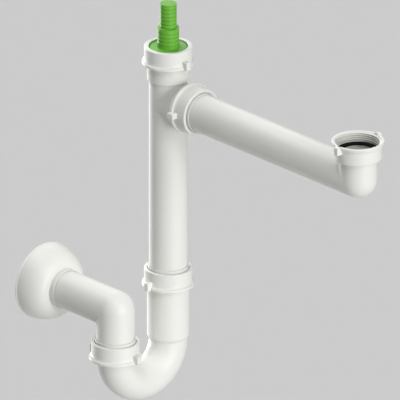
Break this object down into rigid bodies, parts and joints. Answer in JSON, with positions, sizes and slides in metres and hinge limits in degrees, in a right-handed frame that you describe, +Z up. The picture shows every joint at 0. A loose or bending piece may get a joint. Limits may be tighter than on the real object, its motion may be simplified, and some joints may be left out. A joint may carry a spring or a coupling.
{
  "type": "space saving sink trap",
  "caption": "White plastic sink trap with a U bend, height-adjustable tee, long inlet arm, elbow outlet with wall rosette, union nuts and a green hose nozzle.",
  "frame": {"origin": "on the axis of the outlet pipe, in the plane of the wall that the rosette covers", "axes": "+Y along the outlet axis into the wall, +Z up, the inlet arm reaches towards -Y"},
  "size_m": [0.1457, 0.4436, 0.4276],
  "materials": {
    "white_pipe": "smooth white polypropylene, soft gloss",
    "white_nut": "smooth white polypropylene, soft gloss",
    "white_rosette": "smooth white polypropylene, soft gloss",
    "slip_ring": "natural white polyethylene",
    "seal_rubber": "matt black rubber",
    "black_gasket": "matt black rubber",
    "green_nozzle": "green polypropylene, soft gloss"
  },
  "bodies": {
    "outlet": {"outlet_elbow": "white_pipe", "outlet_seal": "seal_rubber"},
    "rosette": {"wall_rosette": "white_rosette"},
    "bend": {"u_bend": "white_pipe"},
    "outlet_ring": {"outlet_slip_ring": "slip_ring"},
    "outlet_nut": {"outlet_union_nut": "white_nut"},
    "dip_ring": {"dip_slip_ring": "slip_ring"},
    "dip_nut": {"dip_union_nut": "white_nut"},
    "dip_packing": {"dip_seal": "seal_rubber"},
    "tee": {"main_tee": "white_pipe", "nozzle_gasket": "black_gasket"},
    "nozzle": {"hose_nozzle": "green_nozzle"},
    "nozzle_nut": {"nozzle_union_nut": "white_nut"},
    "branch_ring": {"branch_slip_ring": "slip_ring"},
    "branch_nut": {"branch_union_nut": "white_nut"},
    "branch_packing": {"branch_seal": "seal_rubber"},
    "arm": {"inlet_arm": "white_pipe", "inlet_gasket": "black_gasket"},
    "inlet_nut": {"inlet_union_nut": "white_nut"}
  },
  "joints": [
    {"name": "rosette_slide", "type": "slide", "parent": "outlet", "child": "rosette", "axis": [0, 1, 0], "range_m": [-0.05, 0]},
    {"name": "bend_swivel", "type": "hinge", "parent": "outlet", "child": "bend", "pos_m": [0, -0.108, -0.05], "axis": [0, 0, 1], "range_deg": [-180, 35]},
    {"name": "outlet_ring_lift", "type": "slide", "parent": "bend", "child": "outlet_ring", "axis": [0, 0, 1], "range_m": [0, 0.007]},
    {"name": "outlet_nut_turn", "type": "hinge", "parent": "outlet_ring", "child": "outlet_nut", "pos_m": [0, -0.108, -0.045], "axis": [0, 0, 1], "range_deg": [0, 1080]},
    {"name": "dip_ring_lift", "type": "slide", "parent": "bend", "child": "dip_ring", "axis": [0, 0, 1], "range_m": [0, 0.007]},
    {"name": "dip_nut_turn", "type": "hinge", "parent": "dip_ring", "child": "dip_nut", "pos_m": [0.0737, -0.108, 0.018], "axis": [0, 0, 1], "range_deg": [0, 1080]},
    {"name": "dip_swivel", "type": "hinge", "parent": "bend", "child": "dip_packing", "pos_m": [0.0737, -0.108, 0.019], "axis": [0, 0, 1], "range_deg": [-90, 90]},
    {"name": "dip_height", "type": "slide", "parent": "dip_packing", "child": "tee", "axis": [0, 0, 1], "range_m": [-0.018, 0.03]},
    {"name": "nozzle_lift", "type": "slide", "parent": "tee", "child": "nozzle", "axis": [0, 0, 1], "range_m": [0, 0.007]},
    {"name": "nozzle_nut_turn", "type": "hinge", "parent": "nozzle", "child": "nozzle_nut", "pos_m": [0.0737, -0.108, 0.264], "axis": [0, 0, 1], "range_deg": [0, 1080]},
    {"name": "branch_ring_shift", "type": "slide", "parent": "tee", "child": "branch_ring", "axis": [0, -1, 0], "range_m": [0, 0.007]},
    {"name": "branch_nut_turn", "type": "hinge", "parent": "branch_ring", "child": "branch_nut", "pos_m": [0.0737, -0.149, 0.2134], "axis": [0, -1, 0], "range_deg": [0, 1080]},
    {"name": "arm_roll", "type": "hinge", "parent": "tee", "child": "branch_packing", "pos_m": [0.0737, -0.1507, 0.2134], "axis": [0, -1, 0], "range_deg": [-90, 90]},
    {"name": "arm_reach", "type": "slide", "parent": "branch_packing", "child": "arm", "axis": [0, -1, 0], "range_m": [-0.0012, 0.008]},
    {"name": "inlet_nut_spin", "type": "hinge", "parent": "arm", "child": "inlet_nut", "pos_m": [0.0737, -0.3962, 0.246], "axis": [0, 0, 1], "continuous": true}
  ],
  "couplings": [
    {"joint": "outlet_ring_lift", "follows": "outlet_nut_turn", "m_per_rad": 0.00036749},
    {"joint": "dip_ring_lift", "follows": "dip_nut_turn", "m_per_rad": 0.00036749},
    {"joint": "nozzle_lift", "follows": "nozzle_nut_turn", "m_per_rad": 0.00036749},
    {"joint": "branch_ring_shift", "follows": "branch_nut_turn", "m_per_rad": 0.00036749}
  ]
}
